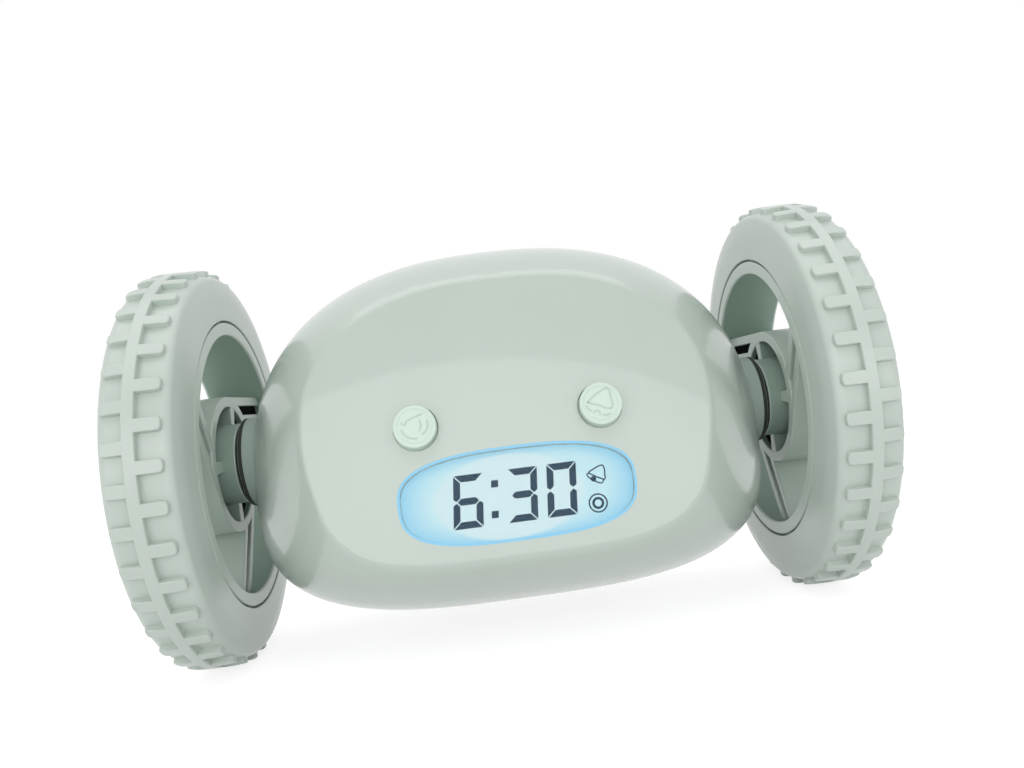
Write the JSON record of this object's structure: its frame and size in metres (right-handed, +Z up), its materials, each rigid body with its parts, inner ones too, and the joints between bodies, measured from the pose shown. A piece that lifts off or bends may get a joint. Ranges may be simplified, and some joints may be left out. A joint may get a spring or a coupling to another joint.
{
  "type": "runaway alarm clock",
  "caption": "Runaway alarm clock: egg-shaped clock body with a lit digital display and eye-like buttons, hung between two large treaded wheels driven by geared motors.",
  "frame": {"origin": "on the floor below the middle of the wheel axle", "axes": "+X along the axle to the right-hand wheel (as seen from in front), -Y out of the display, +Z up"},
  "size_m": [0.1508, 0.0888, 0.0889],
  "materials": {
    "body_plastic": "glossy",
    "button_plastic": "satin",
    "tyre_rubber": "satin",
    "rim_plastic": "satin",
    "lens": "glossy",
    "lcd_glass": "glossy",
    "light_guide": "satin",
    "frame_plastic": "matte",
    "rubber_strip": "matte",
    "lamp": "clear",
    "board": "satin",
    "component": "matte",
    "switch": "matte",
    "speaker": "matte",
    "inner_plastic": "matte",
    "contact_metal": "nickel plated",
    "cell_jacket": "printed sleeve",
    "screw_steel": "zinc plated",
    "gear_plastic": "satin",
    "brass": "machined",
    "steel": "ground",
    "motor_steel": "plated",
    "case_plastic": "matte"
  },
  "bodies": {
    "clock_body": {"front_housing": "body_plastic", "rear_housing": "body_plastic", "display_lens": "lens", "lcd_panel": "lcd_glass", "light_guide": "light_guide", "display_frame": "frame_plastic", "contact_strips": "rubber_strip", "backlight_lamps": "lamp", "main_board": "board", "board_components": "component", "face_switches": "switch", "rear_switch_board": "board", "set_switches": "switch", "speaker": "speaker", "battery_tray": "inner_plastic", "battery_cells": "cell_jacket", "battery_contacts": "contact_metal", "housing_screws": "screw_steel", "board_screws": "screw_steel", "gear_case_screws": "screw_steel", "gear_case_left": "case_plastic", "gear_case_cover_left": "case_plastic", "motor_left": "motor_steel", "idler_pin_left": "steel", "axle_bush_left": "gear_plastic", "gear_case_right": "case_plastic", "gear_case_cover_right": "case_plastic", "motor_right": "motor_steel", "idler_pin_right": "steel", "axle_bush_right": "gear_plastic"},
    "wheel_left": {"wheel_rim_left": "rim_plastic", "tyre_left": "tyre_rubber", "hub_screw_left": "screw_steel", "hub_cap_left": "rim_plastic", "axle_left": "steel", "output_gear_left": "gear_plastic"},
    "idler_left": {"idler_gear_left": "gear_plastic"},
    "rotor_left": {"motor_shaft_left": "steel", "motor_pinion_left": "brass"},
    "wheel_right": {"wheel_rim_right": "rim_plastic", "tyre_right": "tyre_rubber", "hub_screw_right": "screw_steel", "hub_cap_right": "rim_plastic", "axle_right": "steel", "output_gear_right": "gear_plastic"},
    "idler_right": {"idler_gear_right": "gear_plastic"},
    "rotor_right": {"motor_shaft_right": "steel", "motor_pinion_right": "brass"},
    "wheel_button": {"wheel_button": "button_plastic"},
    "alarm_button": {"alarm_button": "button_plastic"},
    "hour_button": {"hour_button": "button_plastic"},
    "minute_button": {"minute_button": "button_plastic"},
    "time_button": {"time_button": "button_plastic"},
    "alarm_set_button": {"alarm_set_button": "button_plastic"},
    "battery_door": {"battery_door": "body_plastic", "door_screw": "screw_steel"}
  },
  "joints": [
    {"name": "wheel_left_spin", "type": "hinge", "parent": "clock_body", "child": "wheel_left", "pos_m": [0, 0, 0.04445], "axis": [1, 0, 0], "continuous": true},
    {"name": "idler_left_spin", "type": "hinge", "parent": "clock_body", "child": "idler_left", "pos_m": [0, 0.00663, 0.03445], "axis": [1, 0, 0], "continuous": true},
    {"name": "rotor_left_spin", "type": "hinge", "parent": "clock_body", "child": "rotor_left", "pos_m": [0, 0, 0.02445], "axis": [1, 0, 0], "continuous": true},
    {"name": "wheel_right_spin", "type": "hinge", "parent": "clock_body", "child": "wheel_right", "pos_m": [0, 0, 0.04445], "axis": [1, 0, 0], "continuous": true},
    {"name": "idler_right_spin", "type": "hinge", "parent": "clock_body", "child": "idler_right", "pos_m": [0, 0.00663, 0.03445], "axis": [1, 0, 0], "continuous": true},
    {"name": "rotor_right_spin", "type": "hinge", "parent": "clock_body", "child": "rotor_right", "pos_m": [0, 0, 0.02445], "axis": [1, 0, 0], "continuous": true},
    {"name": "wheel_button_press", "type": "slide", "parent": "clock_body", "child": "wheel_button", "axis": [0, 0.9799, -0.1994], "range_m": [0, 0.0006], "stiffness_N_per_m": 600},
    {"name": "alarm_button_press", "type": "slide", "parent": "clock_body", "child": "alarm_button", "axis": [0, 0.9799, -0.1994], "range_m": [0, 0.0006], "stiffness_N_per_m": 600},
    {"name": "hour_button_press", "type": "slide", "parent": "clock_body", "child": "hour_button", "axis": [0, -1, 0], "range_m": [0, 0.0006], "stiffness_N_per_m": 500},
    {"name": "minute_button_press", "type": "slide", "parent": "clock_body", "child": "minute_button", "axis": [0, -1, 0], "range_m": [0, 0.0006], "stiffness_N_per_m": 500},
    {"name": "time_button_press", "type": "slide", "parent": "clock_body", "child": "time_button", "axis": [0, -1, 0], "range_m": [0, 0.0006], "stiffness_N_per_m": 500},
    {"name": "alarm_set_button_press", "type": "slide", "parent": "clock_body", "child": "alarm_set_button", "axis": [0, -1, 0], "range_m": [0, 0.0006], "stiffness_N_per_m": 500},
    {"name": "battery_door_lift", "type": "slide", "parent": "clock_body", "child": "battery_door", "axis": [0, 1, 0], "range_m": [0, 0.02]}
  ],
  "couplings": [
    {"joint": "idler_left_spin", "follows": "wheel_left_spin", "ratio": -4},
    {"joint": "rotor_left_spin", "follows": "wheel_left_spin", "ratio": 16},
    {"joint": "idler_right_spin", "follows": "wheel_right_spin", "ratio": -4},
    {"joint": "rotor_right_spin", "follows": "wheel_right_spin", "ratio": 16}
  ]
}
